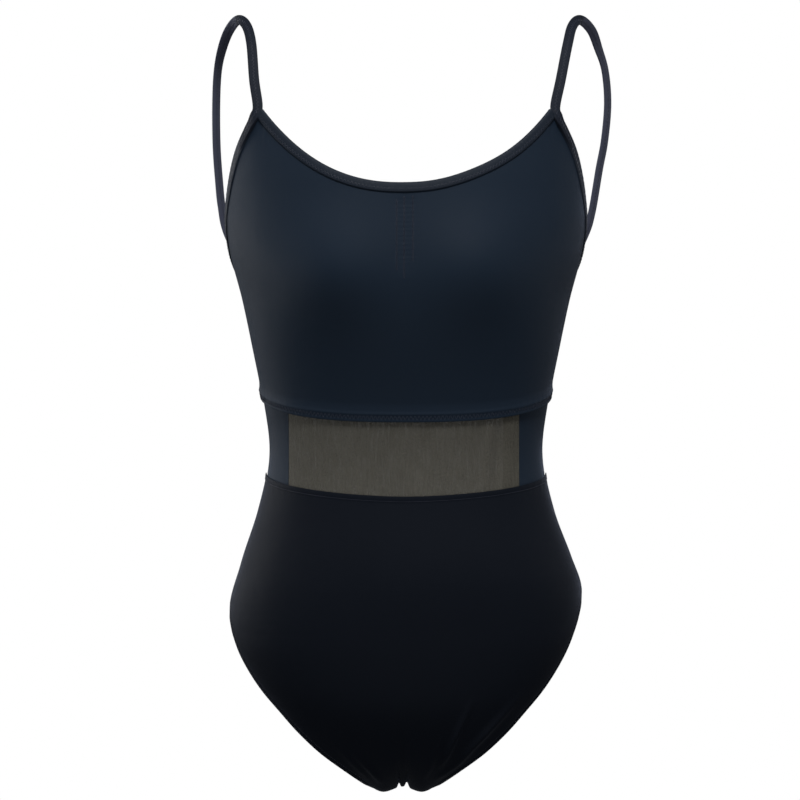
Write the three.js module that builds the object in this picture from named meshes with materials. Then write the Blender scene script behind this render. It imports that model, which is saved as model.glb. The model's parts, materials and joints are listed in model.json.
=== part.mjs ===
// Sleeveless stretch leotard with thin shoulder straps and a sheer mesh waist, as it sits when
// filled by a body. Millimetres, +Z up, the front faces -Y, and the wearer's right is at -X.
// The origin is the middle of the waist. Every cloth piece is a closed sheet with its real
// thickness, laid on one body form, and sewn neighbours keep a seam gap between them.
import * as THREE from 'three';

// Heights on the body form.
const strapPointHeight = 332;
const neckHeight = 266;
const bustHeight = 188;
const underarmHeight = 222;
const backPointHeight = 157;
const underbustHeight = 120;
const backNeckHeight = 98;
const waistHeight = 22;
const hipHeight = -112;

// Half widths of the body form, and its depths in front of and behind the side seams.
const chestHalfWidth = 166;
const underbustHalfWidth = 140.5;
const waistHalfWidth = 126.5;
const hipHalfWidth = 162;
const strapPointDepth = 84;
const neckDepth = 94;
const bustDepth = 104;
const waistFrontDepth = 72;
const hipFrontDepth = 95;
const shoulderBladeDepth = 90;
const waistBackDepth = 60;
const hipBackDepth = 110;
const frontFullness = 0.15;

// The two bust mounds on top of the chest depth.
const bustRise = 12;
const bustOffset = 70;
const bustSpread = 46;

// Mesh waist band: heights of its two seams at the sides, centre front and centre back.
const bandTopSide = 75;
const bandTopFront = 52;
const bandTopBack = 75;
const bandTopCurve = 1.25;
const bandBottomSide = 5;
const bandBottomFront = -15;
const bandBottomBack = -21;
const bandBottomCurve = 0.85;
const meshHalfWidth = 105;

// Cut of the neck and arm openings, as angles round the body from the centre front.
const neckEndAngle = THREE.MathUtils.degToRad(49);
const armholeTopAngle = THREE.MathUtils.degToRad(57);
const armholeFrontAngle = THREE.MathUtils.degToRad(70);
const armholeFrontDrop = 36;
const armholeBackAngle = THREE.MathUtils.degToRad(120.1);
const backNeckAngle = THREE.MathUtils.degToRad(120.7);
const armholeRunOut = 0.3;
const armholeFrontClimb = 62;
const armholeBackFall = 40;
const neckCurve = 2.5;
const backNeckCurve = 3;

// Leg openings and crotch.
const crotchHeight = -286;
const crotchBack = 18;
const crotchHalfWidth = 25;
const crotchSpread = 0.55;
const legHemWidth = 8;

// Cloth, trims and clearances.
const clothThickness = 0.8;
const meshThickness = 0.5;
const liningThickness = 0.6;
const elasticThickness = 0.8;
const elasticWidth = 8;
const bindingWidth = 9;
const bindingFront = 0.6;
const bindingBehind = 1.8;
const hemProud = 0.3;
const hemBehind = 1.7;
const strapWidth = 10;
const strapThickness = 2;
const strapTipWidth = 2;
const strapTaper = 14;
const strapSeat = 0.75;
const tapeWidth = 13;
const tapeLength = 74;
const labelWidth = 14;
const labelDrop = 24;
const labelRise = 0.45;
const labelThickness = 0.4;
const seamGap = 0.3;
const strapGap = 1.6;
const bindingGap = 0.7;
const hemGap = 0.8;
const looseGap = 0.9;

// Cells along the pieces.
const armSideCells = 9;
const neckCells = 14;
const backSideCells = 4;
const backMiddleCells = 12;
const bodiceCells = 11;
const bindingCells = 26;
const backBindingCells = 20;
const meshCells = 14;
const waistPanelCells = 8;
const bandRows = 4;
const strapCells = 44;
const tapeCells = 5;
const briefCells = 22;
const legRows = 16;
const hipRows = 6;
const liningRowsFront = 6;
const liningRowsBack = 4;

const quarterTurn = Math.PI / 2;
const { lerp } = THREE.MathUtils;

// A smooth curve through [place, value] pairs, held level at and beyond both ends.
function profile(points) {
  const last = points.length - 1;
  const rise = (i) => (points[i + 1][1] - points[i][1]) / (points[i + 1][0] - points[i][0]);
  const span = (i) => points[i + 1][0] - points[i][0];
  const slope = (i) => {
    if (i === 0 || i === last) {
      return 0;
    }
    return (rise(i - 1) * span(i) + rise(i) * span(i - 1)) / (span(i - 1) + span(i));
  };
  return (place) => {
    const held = THREE.MathUtils.clamp(place, points[0][0], points[last][0]);
    let i = 0;
    while (i < last - 1 && points[i + 1][0] < held) {
      i += 1;
    }
    const t = (held - points[i][0]) / span(i);
    const fade = t * t * (3 - 2 * t);
    const leave = t * (1 - t) * (1 - t) * slope(i) * span(i);
    const arrive = t * t * (1 - t) * slope(i + 1) * span(i);
    return lerp(points[i][1], points[i + 1][1], fade) + leave - arrive;
  };
}

const halfWidth = profile([
  [hipHeight, hipHalfWidth],
  [waistHeight, waistHalfWidth],
  [underbustHeight, underbustHalfWidth],
  [underarmHeight, chestHalfWidth],
]);

const frontDepth = profile([
  [hipHeight, hipFrontDepth],
  [waistHeight, waistFrontDepth],
  [bustHeight, bustDepth],
  [neckHeight, neckDepth],
  [strapPointHeight, strapPointDepth],
]);

const backDepth = profile([
  [hipHeight, hipBackDepth],
  [waistHeight, waistBackDepth],
  [backPointHeight, shoulderBladeDepth],
]);

// A section's bulge away from its sides, as a share of its depth: 0 is a plain ellipse.
function bow(facing, fullness) {
  return facing * (1 + fullness * (1 - facing));
}

// A point of the body form. The angle is 0 at the centre front and grows towards +X.
function body(angle, height) {
  const x = halfWidth(height) * Math.sin(angle);
  const facing = Math.cos(angle);
  if (facing < 0) {
    return new THREE.Vector3(x, -backDepth(height) * facing, height);
  }
  const side = (Math.abs(x) - bustOffset) / bustSpread;
  const level = (height - bustHeight) / bustSpread;
  const mound = bustRise * Math.exp(-side * side - level * level) * facing;
  return new THREE.Vector3(x, -frontDepth(height) * bow(facing, frontFullness) - mound, height);
}

// Unit direction out of a surface of two parameters, from small steps along each of them.
function outward(surface, a, b, stepA, stepB) {
  const along = surface(a + stepA, b).sub(surface(a - stepA, b));
  const up = surface(a, b + stepB).sub(surface(a, b - stepB));
  return along.cross(up).normalize();
}

// A point at a distance off the body form, positive outside.
function offBody(angle, height, distance) {
  return body(angle, height).addScaledVector(outward(body, angle, height, 0.001, 1), distance);
}

// A closed sheet: a box with a grid of cells whose corners are moved to place(i, j, layer), where
// i counts across, j counts up and layer is 1 on the outer face and 0 on the inner one.
function sheet(across, up, place) {
  const geometry = new THREE.BoxGeometry(1, 1, 1, across, up, 1);
  const corners = geometry.attributes.position;
  for (let k = 0; k < corners.count; k += 1) {
    const i = Math.round((corners.getX(k) + 0.5) * across);
    const j = Math.round((corners.getY(k) + 0.5) * up);
    const layer = corners.getZ(k) > 0 ? 1 : 0;
    const point = place(i, j, layer);
    corners.setXYZ(k, point.x, point.y, point.z);
  }
  // The inner face is cut into triangles like the outer one, so that stacked layers lie parallel.
  const cells = geometry.index;
  const innerFace = geometry.groups[5];
  for (let k = innerFace.start; k < innerFace.start + innerFace.count; k += 6) {
    cells.setX(k + 2, cells.getX(k + 4));
    cells.setX(k + 3, cells.getX(k));
  }
  geometry.computeVertexNormals();
  return geometry;
}

// Numbers spread evenly from one end to the other, both ends included.
function spread(from, to, steps) {
  return Array.from({ length: steps + 1 }, (_, i) => lerp(from, to, i / steps));
}

// The two waist seams fall from the sides towards the centre front, and the lower one also
// towards the centre back. The larger the curve, the flatter the seam runs at the centre.
function seamHeight(side, front, back, curve) {
  return (angle) => {
    const fall = 1 - (1 - Math.abs(Math.cos(angle))) ** curve;
    return lerp(side, Math.cos(angle) > 0 ? front : back, fall);
  };
}
const bandTop = seamHeight(bandTopSide, bandTopFront, bandTopBack, bandTopCurve);
const bandBottom = seamHeight(bandBottomSide, bandBottomFront, bandBottomBack, bandBottomCurve);

// Edges of the cut openings, as the height of the edge at an angle.
function neckEdge(angle) {
  const share = Math.abs(Math.sin(angle)) / Math.sin(neckEndAngle);
  return neckHeight + (strapPointHeight - neckHeight) * share ** neckCurve;
}

function backNeckEdge(angle) {
  const share = Math.abs(Math.sin(angle)) / Math.sin(backNeckAngle);
  return backNeckHeight + (backPointHeight - backNeckHeight) * share ** backNeckCurve;
}

const armholeCurve = profile([
  [armholeTopAngle - armholeRunOut, strapPointHeight + armholeFrontClimb],
  [armholeTopAngle, strapPointHeight],
  [armholeFrontAngle, strapPointHeight - armholeFrontDrop],
  [quarterTurn, underarmHeight],
  [armholeBackAngle, backPointHeight],
  [armholeBackAngle + armholeRunOut, backPointHeight - armholeBackFall],
]);

function armholeEdge(angle) {
  return armholeCurve(Math.abs(angle));
}

// The angle and height of a point that lies a distance below an edge, square to it.
function inset(edge, angle, distance) {
  const nudge = 0.002;
  const height = edge(angle);
  const reach = body(angle + nudge, height).distanceTo(body(angle - nudge, height)) / (2 * nudge);
  const climb = body(angle, height + 1).distanceTo(body(angle, height - 1)) / 2;
  const slope = (edge(angle + nudge) - edge(angle - nudge)) / (2 * nudge);
  const length = Math.hypot(reach, slope * climb);
  return [
    angle + (distance * slope * climb) / (length * reach),
    height - (distance * reach) / (length * climb),
  ];
}

// The height at which a line, given as [angle, height] points, passes an angle.
function heightOn(line, angle) {
  for (let i = 1; i < line.length; i += 1) {
    if (angle <= line[i][0]) {
      const share = (angle - line[i - 1][0]) / (line[i][0] - line[i - 1][0]);
      return lerp(line[i - 1][1], line[i][1], share);
    }
  }
  return line[line.length - 1][1];
}

// The cloth's own edge lies one binding width inside the finished edge.
const clothInset = bindingWidth + bindingGap;
const insetLine = (edge, from, to) => {
  return spread(from, to, 120).map((angle) => inset(edge, angle, clothInset));
};
const armholeInset = insetLine(armholeEdge, armholeTopAngle - 0.1, armholeBackAngle + 0.1);
const neckInset = insetLine(neckEdge, 0, armholeTopAngle + 0.1);
const backNeckInset = insetLine(backNeckEdge, armholeBackAngle - 0.1, Math.PI);

function frontTop(angle) {
  const turn = Math.abs(angle);
  const neck = heightOn(neckInset, turn);
  return turn < neckEndAngle - 0.1 ? neck : Math.min(neck, heightOn(armholeInset, turn));
}

function backTop(angle) {
  const neck = heightOn(backNeckInset, angle);
  return angle > backNeckAngle + 0.1 ? neck : Math.min(neck, heightOn(armholeInset, angle));
}

// The angle at which a cloth edge peaks, under the end of a strap.
function peak(top, from, to) {
  return spread(from, to, 80).reduce((best, angle) => (top(angle) > top(best) ? angle : best));
}
const frontPeak = peak(frontTop, neckEndAngle - 0.06, armholeTopAngle + 0.06);
const backKink = lerp(armholeBackAngle, backNeckAngle, 0.5);

// Angles of the sheets' columns. Both layers of the front share them, so that they lie parallel.
const sideTrim = seamGap / (2 * chestHalfWidth);
const frontColumns = [
  ...spread(-quarterTurn + sideTrim, -frontPeak, armSideCells),
  ...spread(-frontPeak, frontPeak, neckCells).slice(1, -1),
  ...spread(frontPeak, quarterTurn - sideTrim, armSideCells),
];
const backRight = spread(quarterTurn + sideTrim, backKink, backSideCells);
const backMiddle = spread(backKink, 2 * Math.PI - backKink, backMiddleCells).slice(1, -1);
const backLeft = backRight.map((angle) => 2 * Math.PI - angle).reverse();
const backColumns = [...backRight, ...backMiddle, ...backLeft];
const backTopAt = (angle) => backTop(angle > Math.PI ? 2 * Math.PI - angle : angle);

// Heights up a bodice column: one cell as tall as the underbust elastic, then even cells.
function bodiceHeight(angle, top, j) {
  const low = bandTop(angle) + seamGap;
  if (j === 0) {
    return low;
  }
  return lerp(low + elasticWidth, top, (j - 1) / (bodiceCells - 1));
}

function bodice(columns, top, outer, inner) {
  return sheet(columns.length - 1, bodiceCells, (i, j, layer) => {
    const height = bodiceHeight(columns[i], top(columns[i]), j);
    return offBody(columns[i], height, layer ? outer : inner);
  });
}

// A strip along a cut edge: the binding folded over it, or the last stretch of a strap.
function edgeStrip(edge, from, to, steps) {
  const angles = spread(from, to, steps);
  return sheet(steps, 1, (i, j, layer) => {
    const [angle, height] = j ? [angles[i], edge(angles[i])] : inset(edge, angles[i], bindingWidth);
    return offBody(angle, height, layer ? bindingFront : -bindingBehind);
  });
}

// Part of the waist band between two angles.
function bandPanel(from, to, steps, thickness) {
  const angles = spread(from, to, steps);
  return sheet(steps, bandRows, (i, j, layer) => {
    const height = lerp(bandBottom(angles[i]), bandTop(angles[i]), j / bandRows);
    return offBody(angles[i], height, layer ? 0 : -thickness);
  });
}

// An elastic sewn round the inside of a waist seam, its ends butted at the wearer's right side.
const turnColumns = [...frontColumns, ...backColumns];
function ring(low, high, outer) {
  return sheet(turnColumns.length - 1, 1, (i, j, layer) => {
    const angle = turnColumns[i];
    return offBody(angle, j ? high(angle) : low(angle), layer ? outer : outer - elasticThickness);
  });
}

// Half of a brief, front or back. Level 0 is the waist seam, 1 the top of the leg opening and 2
// the crotch seam. Across runs from -1 to 1, from one side or leg edge to the other.
const legTop = new THREE.Vector3(hipHalfWidth, 0, hipHeight);
const crotchEdge = new THREE.Vector3(crotchHalfWidth, crotchBack, crotchHeight + 2);
const legDrop = hipHeight - crotchHeight;
const legSpan = hipHalfWidth - crotchHalfWidth;
const legPoint = (out, y, drop) => {
  return new THREE.Vector3(crotchHalfWidth + legSpan * out, y, hipHeight - legDrop * drop);
};

const frontBrief = {
  side: -1,
  fullness: frontFullness,
  legEdge: new THREE.CatmullRomCurve3([
    legTop,
    legPoint(0.99, -15, 0.025),
    legPoint(0.955, -25, 0.12),
    legPoint(0.865, -33, 0.275),
    legPoint(0.72, -42, 0.45),
    legPoint(0.5, -49, 0.645),
    legPoint(0.355, -47, 0.745),
    legPoint(0.18, -34, 0.865),
    legPoint(0.055, -8, 0.965),
    crotchEdge,
  ]),
  middle: new THREE.CatmullRomCurve3([
    new THREE.Vector3(0, -hipFrontDepth, hipHeight),
    new THREE.Vector3(0, -hipFrontDepth + 2, hipHeight - legDrop * 0.27),
    new THREE.Vector3(0, -hipFrontDepth + 16, hipHeight - legDrop * 0.57),
    new THREE.Vector3(0, -hipFrontDepth + 44, hipHeight - legDrop * 0.82),
    new THREE.Vector3(0, crotchBack - 30, crotchHeight + 5),
    new THREE.Vector3(0, crotchBack, crotchHeight),
  ]),
};

const backBrief = {
  side: 1,
  fullness: 0,
  legEdge: new THREE.CatmullRomCurve3([
    legTop,
    legPoint(0.985, 16, 0.025),
    legPoint(0.94, 29, 0.11),
    legPoint(0.83, 44, 0.26),
    legPoint(0.62, 64, 0.49),
    legPoint(0.38, 73, 0.69),
    legPoint(0.17, 62, 0.85),
    legPoint(0.055, 42, 0.955),
    crotchEdge,
  ]),
  middle: new THREE.CatmullRomCurve3([
    new THREE.Vector3(0, hipBackDepth, hipHeight),
    new THREE.Vector3(0, hipBackDepth + 3, hipHeight - legDrop * 0.25),
    new THREE.Vector3(0, hipBackDepth - 12, hipHeight - legDrop * 0.56),
    new THREE.Vector3(0, hipBackDepth - 42, hipHeight - legDrop * 0.83),
    new THREE.Vector3(0, crotchBack + 28, crotchHeight + 6),
    new THREE.Vector3(0, crotchBack, crotchHeight),
  ]),
};

function briefPoint(half, across, level) {
  if (level <= 1) {
    const turn = across * quarterTurn;
    const angle = half.side < 0 ? turn : Math.PI - turn;
    const high = bandBottom(angle) - seamGap;
    return body(angle, lerp(high, hipHeight, Math.max(0, level)));
  }
  const down = Math.min(1, level - 1);
  const edge = half.legEdge.getPointAt(down);
  const centre = half.middle.getPointAt(down);
  const open = lerp(quarterTurn, quarterTurn * crotchSpread, down);
  const bulge = (angle) => bow(Math.cos(angle), half.fullness);
  const share = (bulge(across * open) - bulge(open)) / (1 - bulge(open));
  const x = (edge.x * Math.sin(across * open)) / Math.sin(open);
  return new THREE.Vector3(x, lerp(edge.y, centre.y, share), lerp(edge.z, centre.z, share));
}

function offBrief(half, across, level, distance) {
  const a = THREE.MathUtils.clamp(across, -0.995, 0.995);
  const b = THREE.MathUtils.clamp(level, 0.005, 1.995);
  const out = outward((s, t) => briefPoint(half, s, t), a, b, 0.004, 0.004);
  return briefPoint(half, across, level).addScaledVector(out, distance * half.side);
}

// Rows of a brief half, from the crotch seam up: leg rows, hip rows, then one waist elastic cell.
const crotchTrim = 0.002;
const briefTrim = 0.001;
const waistCell = 0.07;
const briefLevels = [
  ...spread(2 - crotchTrim, 1, legRows),
  ...spread(1, waistCell, hipRows).slice(1),
  0,
];
const briefAcross = spread(-1 + briefTrim, 1 - briefTrim, briefCells);

function briefPanel(half) {
  return sheet(briefAcross.length - 1, briefLevels.length - 1, (i, j, layer) => {
    const across = -half.side * briefAcross[i];
    return offBrief(half, across, briefLevels[j], layer ? 0 : -clothThickness);
  });
}

// The crotch lining runs from the front over the crotch seam to the back, inside the briefs.
function crotchLining() {
  const rows = [
    ...briefLevels.slice(0, liningRowsBack + 1).reverse().map((level) => [backBrief, level]),
    ...briefLevels.slice(0, liningRowsFront + 1).map((level) => [frontBrief, level]),
  ];
  const columns = briefAcross.slice(1, -1);
  return sheet(columns.length - 1, rows.length - 1, (i, j, layer) => {
    const [half, level] = rows[j];
    const depth = clothThickness + seamGap + (layer ? 0 : liningThickness);
    return offBrief(half, columns[i], level, -depth);
  });
}

// The elasticated hem of one leg opening, an open loop whose ends meet at the crotch seam.
function legHem(sign) {
  const stops = [
    ...spread(2 - crotchTrim, 1, legRows).map((level) => [frontBrief, level]),
    ...spread(1, 2 - crotchTrim, legRows).slice(1).map((level) => [backBrief, level]),
  ];
  const points = stops.map(([half, level]) => briefPoint(half, sign, level));
  const normals = stops.map(([half, level], k) => {
    return offBrief(half, sign, level, 1).sub(points[k]).normalize();
  });
  const outs = points.map((point, k) => {
    const after = points[Math.min(k + 1, points.length - 1)];
    const before = points[Math.max(k - 1, 0)];
    const along = after.clone().sub(before).normalize();
    return along.cross(normals[k]).multiplyScalar(sign).normalize();
  });
  return sheet(stops.length - 1, 1, (i, j, layer) => {
    const away = (sign > 0) === (j === 0) ? hemGap + legHemWidth : hemGap;
    const off = layer ? hemProud : -hemBehind;
    return points[i].clone().addScaledVector(outs[i], away).addScaledVector(normals[i], off);
  });
}

// A strap: a flat tape from the front strap point over the shoulder to the back strap point. It is
// narrowed to a small tip at both sewn ends, so that it turns there without rubbing.
function strapEnd(sign, atFront) {
  let end = offBody(backKink, backPointHeight, -clothThickness);
  if (atFront) {
    const [insideAngle, insideHeight] = inset(armholeEdge, armholeTopAngle, bindingWidth);
    const outer = offBody(armholeTopAngle, strapPointHeight, -clothThickness);
    end = offBody(insideAngle, insideHeight, -clothThickness).lerp(outer, strapSeat);
  }
  end.z += strapGap;
  end.x *= sign;
  return end;
}

// Offsets of the strap's middle line from its front end, then from its back end: out, back, up.
const frontRun = [[3, 10, 30], [7, 21, 53], [11, 37, 77], [20, 58, 92], [30, 79, 81]];
const backRun = [[50, 6, 216], [52, 16, 184], [50, 25, 147], [46, 29, 119], [42, 30, 91],
  [34, 27, 62], [17, 17, 30]];

function strapCurve(sign) {
  const front = strapEnd(sign, true);
  const back = strapEnd(sign, false);
  const from = (end) => ([out, behind, up]) => {
    return new THREE.Vector3(end.x + sign * out, end.y + behind, end.z + up);
  };
  const points = [front, ...frontRun.map(from(front)), ...backRun.map(from(back)), back];
  return new THREE.CatmullRomCurve3(points, false, 'centripetal');
}

function strap(sign) {
  const curve = strapCurve(sign);
  const length = curve.getLength();
  return sheet(1, strapCells, (i, j, layer) => {
    const share = j / strapCells;
    const middle = curve.getPointAt(share);
    const along = curve.getTangentAt(share);
    const wide = new THREE.Vector3(along.z, 0, -along.x).normalize();
    const thick = wide.clone().cross(along).normalize();
    const toEnd = Math.min(share, 1 - share) * length;
    const width = lerp(strapTipWidth, strapWidth, Math.min(1, toEnd / strapTaper));
    const off = (layer ? 0.5 : -0.5) * strapThickness;
    return middle.addScaledVector(wide, (i - 0.5) * width).addScaledVector(thick, off);
  });
}

// The gathering tape down the inside of the centre front.
function gatherTape() {
  const high = neckEdge(0) - clothInset;
  const turn = tapeWidth / (2 * chestHalfWidth);
  const outer = -(clothThickness + seamGap + liningThickness + looseGap);
  return sheet(2, tapeCells, (i, j, layer) => {
    const height = lerp(high - tapeLength, high, j / tapeCells);
    return offBody(lerp(-turn, turn, i / 2), height, layer ? outer : outer - elasticThickness);
  });
}

// The blank care label in the side seam, inside the back.
function careLabel() {
  const start = Math.PI * 1.5 - sideTrim;
  const turn = labelWidth / chestHalfWidth;
  const high = lerp(bandTopSide, underarmHeight, labelRise);
  const outer = -(clothThickness + looseGap);
  return sheet(1, 2, (i, j, layer) => {
    const height = high - labelDrop * (1 - j / 2);
    return offBody(start - turn * (1 - i), height, layer ? outer : outer - labelThickness);
  });
}

const group = new THREE.Group();

function add(name, geometry, color, roughness) {
  const material = new THREE.MeshStandardMaterial({ color, roughness, metalness: 0 });
  const mesh = new THREE.Mesh(geometry, material);
  mesh.name = name;
  group.add(mesh);
}

const cloth = 0x141826;
const trim = 0x1c2029;
const sheer = 0x54524a;
const inside = 0x10131c;
const cotton = 0x9a9690;
const satin = 0xe8e6e0;

// Bodice: the outer front, its lining, and the low back.
const liningOuter = -(clothThickness + seamGap);
const liningInner = liningOuter - liningThickness;
add('front_bodice', bodice(frontColumns, frontTop, 0, -clothThickness), cloth, 0.75);
add('front_bodice_lining', bodice(frontColumns, frontTop, liningOuter, liningInner), inside, 0.85);
add('back_bodice', bodice(backColumns, backTopAt, 0, -clothThickness), cloth, 0.75);
add('center_front_gather_tape', gatherTape(), inside, 0.85);
add('care_label', careLabel(), satin, 0.8);

// Bindings of the neck and arm openings. The arm bindings stop short of the neck bindings.
const frontNeck = edgeStrip(neckEdge, -neckEndAngle, neckEndAngle, bindingCells);
const backNeckTo = 2 * Math.PI - backNeckAngle;
const backNeck = edgeStrip(backNeckEdge, backNeckAngle, backNeckTo, backBindingCells);
const rightArm = edgeStrip(armholeEdge, -armholeBackAngle, -armholeTopAngle, bindingCells);
const leftArm = edgeStrip(armholeEdge, armholeTopAngle, armholeBackAngle, bindingCells);
add('front_neck_binding', frontNeck, trim, 0.7);
add('back_neck_binding', backNeck, trim, 0.7);
add('right_armhole_binding', rightArm, trim, 0.7);
add('left_armhole_binding', leftArm, trim, 0.7);

// Straps, which swing about the line through their two sewn ends.
add('right_strap', strap(-1), trim, 0.7);
add('left_strap', strap(1), trim, 0.7);

// Waist band: mesh in the middle of the front and back, solid cloth at the sides.
const meshAngle = Math.asin(meshHalfWidth / waistHalfWidth);
const bandTrim = seamGap / waistHalfWidth;
const sideFrom = meshAngle + bandTrim;
const sideTo = Math.PI - meshAngle - bandTrim;
const frontMesh = bandPanel(-meshAngle, meshAngle, meshCells, meshThickness);
const backMesh = bandPanel(Math.PI - meshAngle, Math.PI + meshAngle, meshCells, meshThickness);
const rightSide = bandPanel(-sideTo, -sideFrom, waistPanelCells, clothThickness);
const leftSide = bandPanel(sideFrom, sideTo, waistPanelCells, clothThickness);
add('front_mesh_panel', frontMesh, sheer, 0.9);
add('back_mesh_panel', backMesh, sheer, 0.9);
add('right_waist_panel', rightSide, cloth, 0.75);
add('left_waist_panel', leftSide, cloth, 0.75);

// Elastics inside the two waist seams.
const underbustLow = (angle) => bandTop(angle) + seamGap;
const underbustHigh = (angle) => underbustLow(angle) + elasticWidth;
add('underbust_elastic', ring(underbustLow, underbustHigh, liningInner - seamGap), inside, 0.85);
const waistHigh = (angle) => bandBottom(angle) - seamGap;
const waistLow = (angle) => waistHigh(angle) - elasticWidth;
add('waist_elastic', ring(waistLow, waistHigh, -(clothThickness + looseGap)), inside, 0.85);

// Briefs, their crotch lining and the two elasticated leg hems.
add('front_brief', briefPanel(frontBrief), cloth, 0.75);
add('back_brief', briefPanel(backBrief), cloth, 0.75);
add('crotch_lining', crotchLining(), cotton, 0.9);
add('right_leg_hem', legHem(-1), trim, 0.75);
add('left_leg_hem', legHem(1), trim, 0.75);

export default group;
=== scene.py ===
import json
import math

import bpy
import numpy as np
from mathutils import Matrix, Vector


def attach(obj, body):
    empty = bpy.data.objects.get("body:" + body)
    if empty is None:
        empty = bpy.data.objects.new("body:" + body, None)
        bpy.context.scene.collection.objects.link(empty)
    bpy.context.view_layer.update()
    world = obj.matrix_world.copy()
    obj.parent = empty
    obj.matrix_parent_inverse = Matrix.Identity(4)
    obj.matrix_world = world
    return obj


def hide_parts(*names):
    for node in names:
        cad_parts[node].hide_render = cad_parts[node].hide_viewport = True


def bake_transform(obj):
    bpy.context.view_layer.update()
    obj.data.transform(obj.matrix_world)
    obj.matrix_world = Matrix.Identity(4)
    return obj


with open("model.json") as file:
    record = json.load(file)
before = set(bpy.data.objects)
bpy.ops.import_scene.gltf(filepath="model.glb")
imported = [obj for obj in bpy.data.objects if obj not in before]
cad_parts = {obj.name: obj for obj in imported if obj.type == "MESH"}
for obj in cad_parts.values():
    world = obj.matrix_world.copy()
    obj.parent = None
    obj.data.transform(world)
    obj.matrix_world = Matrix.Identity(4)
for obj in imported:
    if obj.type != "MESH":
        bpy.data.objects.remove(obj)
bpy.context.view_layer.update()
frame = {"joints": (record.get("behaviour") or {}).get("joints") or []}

# ----
# The body form. A leotard has no shape of its own: the stretch cloth takes the shape of the
# trunk inside it, so every panel below is cut on this one form. Lengths are in metres, and the
# two rounds turn a distance round the form into an angle.

HIP = -0.112
WAIST = 0.022
UNDERBUST = 0.120
BUST = 0.188
UNDERARM = 0.222
NECK_FRONT = 0.266
STRAP_POINT = 0.332
BACK_POINT = 0.157
NECK_BACK = 0.098
SIDE = math.pi / 2


def line_through(points):
    """A smooth line through (place, value) points, level at both ends."""
    place, value = np.array(points, float).T
    span = np.diff(place)
    rise = np.diff(value) / span
    slope = np.zeros(len(place))
    slope[1:-1] = (rise[:-1] * span[1:] + rise[1:] * span[:-1]) / (span[:-1] + span[1:])

    def at(x):
        x = np.clip(x, place[0], place[-1])
        i = np.clip(np.searchsorted(place, x) - 1, 0, len(span) - 1)
        t = (x - place[i]) / span[i]
        fade = t * t * (3 - 2 * t)
        ends = t * (1 - t) ** 2 * slope[i] - t * t * (1 - t) * slope[i + 1]
        return value[i] + (value[i + 1] - value[i]) * fade + ends * span[i]

    return at


half_width = line_through([
    (HIP, 0.1620), (-0.075, 0.1520), (-0.030, 0.1365), (WAIST, 0.1265), (0.072, 0.1320),
    (UNDERBUST, 0.1413), (0.164, 0.1506), (0.210, 0.1622), (0.245, 0.1660)])
front_depth = line_through([
    (HIP, 0.095), (WAIST, 0.072), (BUST, 0.104), (NECK_FRONT, 0.094), (STRAP_POINT, 0.084)])
back_depth = line_through([(HIP, 0.110), (WAIST, 0.060), (BACK_POINT, 0.090)])
FRONT_FULLNESS = 0.15
ROUND_SIDE = 0.15
ROUND_CHEST = 0.166
BUST_RISE = 0.012
BUST_OFFSET = 0.070
BUST_SPREAD = 0.046


def bow(facing, fullness):
    """How far a section bulges from its sides, as a share of its depth."""
    return facing * (1 + fullness * (1 - facing))


def body(angle, height):
    """Points of the form. The angle is 0 at the centre front and grows towards +X."""
    angle, height = np.broadcast_arrays(np.asarray(angle, float), np.asarray(height, float))
    x = half_width(height) * np.sin(angle)
    facing = np.cos(angle)
    ahead = np.clip(facing, 0, None)
    side = (np.abs(x) - BUST_OFFSET) / BUST_SPREAD
    level = (height - BUST) / BUST_SPREAD
    mound = BUST_RISE * np.exp(-side ** 2 - level ** 2) * ahead
    front = -front_depth(height) * bow(ahead, FRONT_FULLNESS) - mound
    y = np.where(facing < 0, -back_depth(height) * facing, front)
    return np.stack([x, y, height], -1)


def unit(v):
    return v / np.maximum(np.linalg.norm(v, axis=-1, keepdims=True), 1e-12)


def facing_out(surface, a, b, step_a, step_b):
    """Unit normals of a surface of two parameters."""
    along = surface(a + step_a, b) - surface(a - step_a, b)
    up = surface(a, b + step_b) - surface(a, b - step_b)
    return unit(np.cross(along, up))


def body_out(angle, height):
    return facing_out(body, np.asarray(angle, float), np.asarray(height, float), 0.002, 0.001)


# A worn garment never hangs perfectly square: below the hips it shifts a little to one side,
# one leg opening sits a little higher, and the neck is pulled up on the wearer's left.
SHIFT = -0.0031
TILT = 0.0065
NECK_PULL = 0.0028


def worn(points):
    points = np.array(points, float)
    x, z = points[..., 0], points[..., 2]
    low = np.clip((HIP + 0.015 - z) / 0.10, 0, 1)
    points[..., 0] = x + SHIFT * low * low * (3 - 2 * low)
    points[..., 2] = (z + TILT * x / 0.16 * np.exp(-((z - HIP) / 0.05) ** 2)
                      + NECK_PULL * np.exp(-((x - 0.060) / 0.038) ** 2 - ((z - 0.28) / 0.05) ** 2))
    return points


# ----
# Seams and cut edges. The two waist seams dip towards the centre front. The neck is a wide
# scoop, the arm openings run from the strap points down to the low back.

NECK_END = math.radians(50.3)
ARM_TOP = math.radians(57)
ARM_BACK = math.radians(120.1)
NECK_BACK_END = math.radians(120.7)


def seam_height(angle, side, front, back, curve):
    fall = 1 - (1 - np.abs(np.cos(angle))) ** curve
    return side + (np.where(np.cos(angle) > 0, front, back) - side) * fall


def band_top(angle):
    return seam_height(angle, 0.075, 0.052, 0.075, 1.25)


def band_bottom(angle):
    return seam_height(angle, 0.005, -0.015, -0.021, 0.85)


def neck_edge(angle):
    share = np.abs(np.sin(angle)) / math.sin(NECK_END)
    return NECK_FRONT + (STRAP_POINT - NECK_FRONT) * share ** 2.45


def back_neck_edge(angle):
    share = np.abs(np.sin(angle)) / math.sin(NECK_BACK_END)
    return NECK_BACK + (BACK_POINT - NECK_BACK) * share ** 3


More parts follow.
